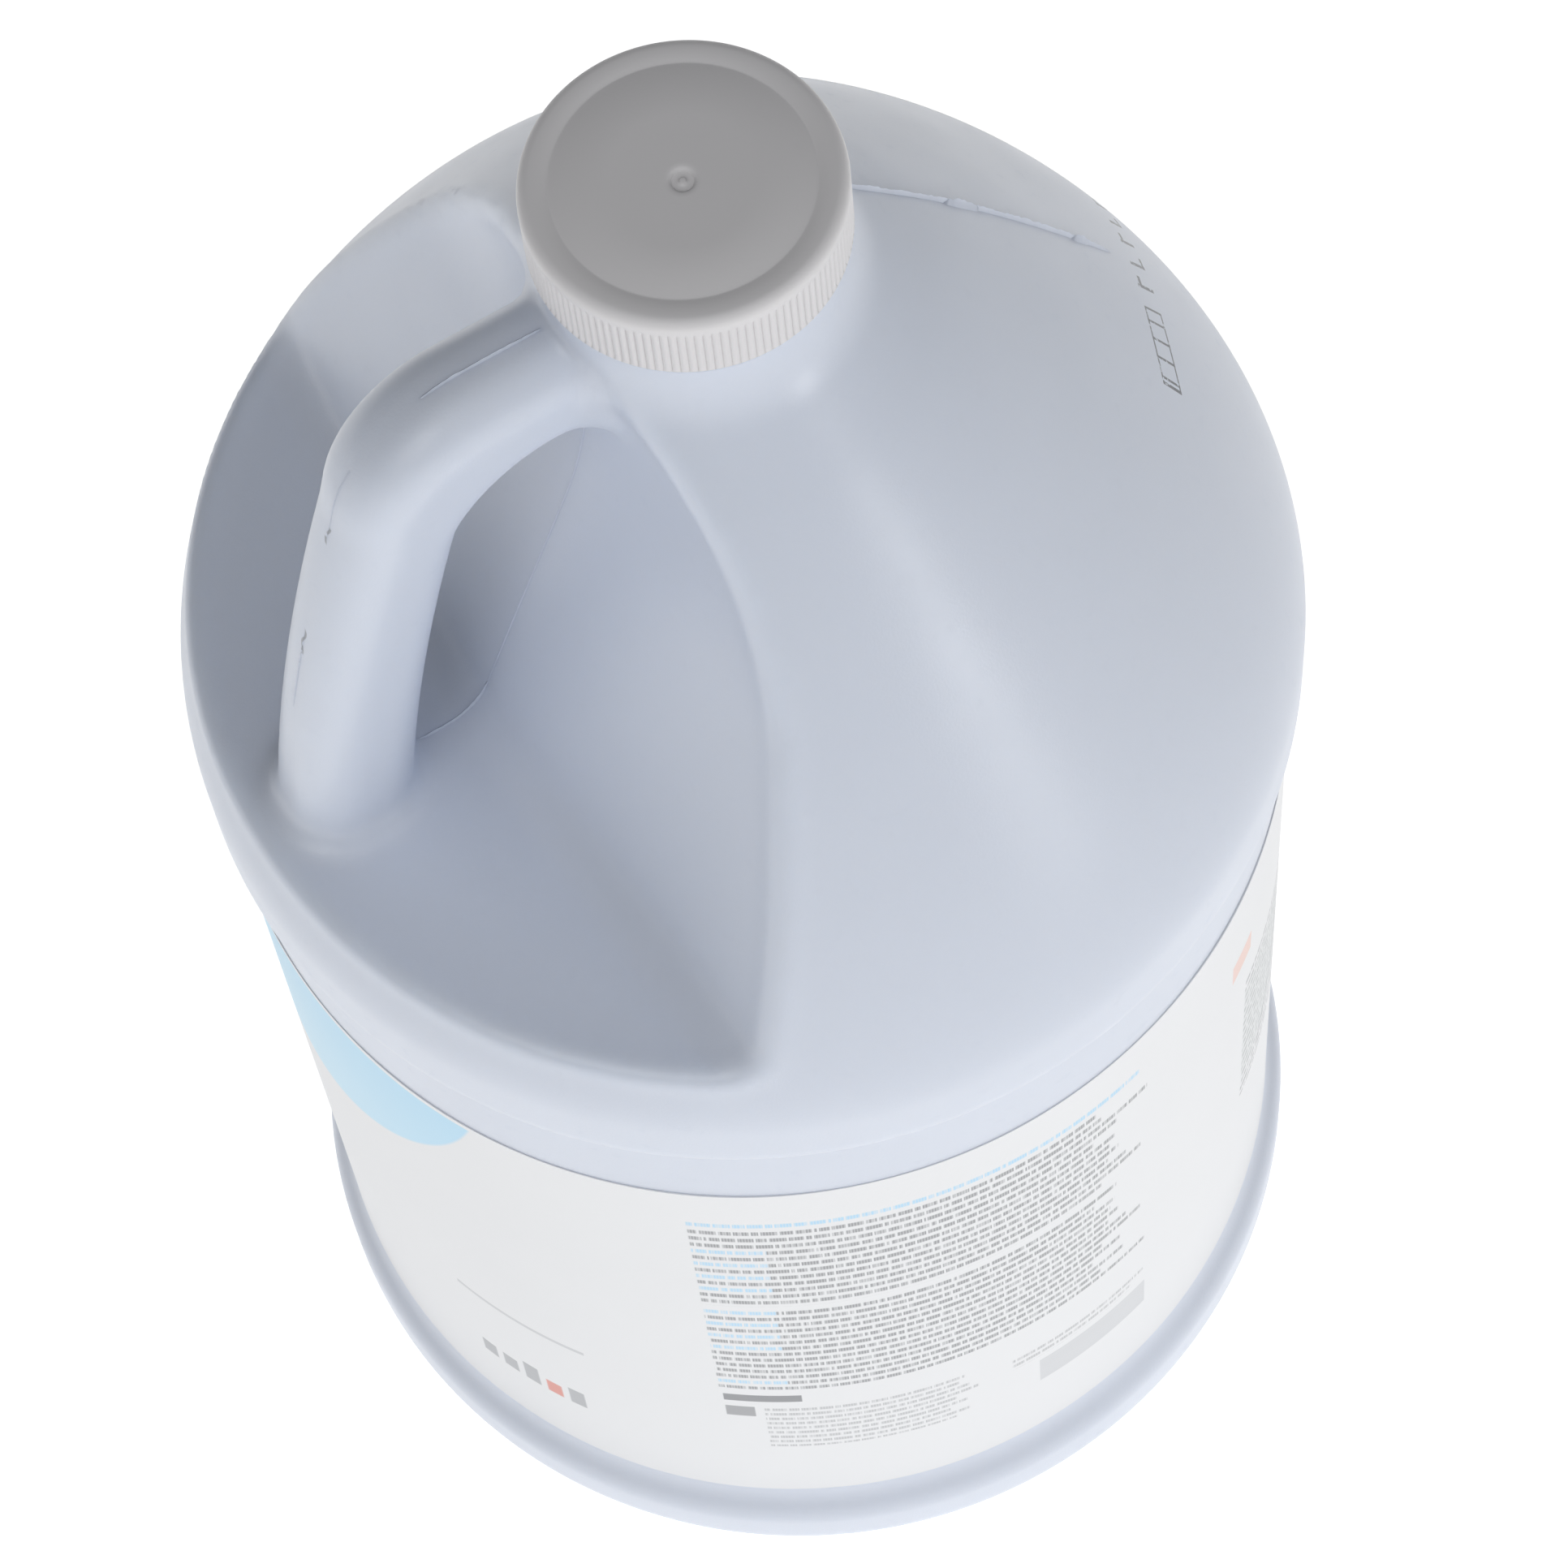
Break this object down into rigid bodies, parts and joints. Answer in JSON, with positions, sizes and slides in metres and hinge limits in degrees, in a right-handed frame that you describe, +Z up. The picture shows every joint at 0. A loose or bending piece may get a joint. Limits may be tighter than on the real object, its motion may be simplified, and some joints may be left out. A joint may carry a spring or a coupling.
{
  "type": "ultrasonic detergent jug",
  "caption": "Round blow-moulded jug with a coned shoulder, pass-through handle, wrap-round label and ribbed screw cap.",
  "frame": {"origin": "centre of the foot on the surface the jug stands on", "axes": "+Z up the jug's axis, the handle points along -X, the mould parts on the XZ plane"},
  "size_m": [0.1548, 0.1548, 0.3001],
  "materials": {
    "bottle_plastic": "satin blow-moulded polyethylene",
    "cap_plastic": "satin moulded polypropylene",
    "liner_foam": "fine closed-cell foam",
    "label_film": "printed film with a soft sheen",
    "liquid": "clear pale blue liquid"
  },
  "bodies": {
    "jug": {"bottle": "bottle_plastic", "label": "label_film", "detergent": "liquid"},
    "liner": {"cap_liner": "liner_foam"},
    "cap": {"screw_cap": "cap_plastic"}
  },
  "joints": [
    {"name": "cap_rise", "type": "slide", "parent": "jug", "child": "liner", "axis": [0, 0, 1], "range_m": [0, 0.0127]},
    {"name": "cap_turn", "type": "hinge", "parent": "liner", "child": "cap", "pos_m": [0, 0, 0.2945], "axis": [0, 0, 1], "range_deg": [0, 1080]}
  ],
  "couplings": [
    {"joint": "cap_rise", "follows": "cap_turn", "m_per_rad": 0.0006737}
  ]
}
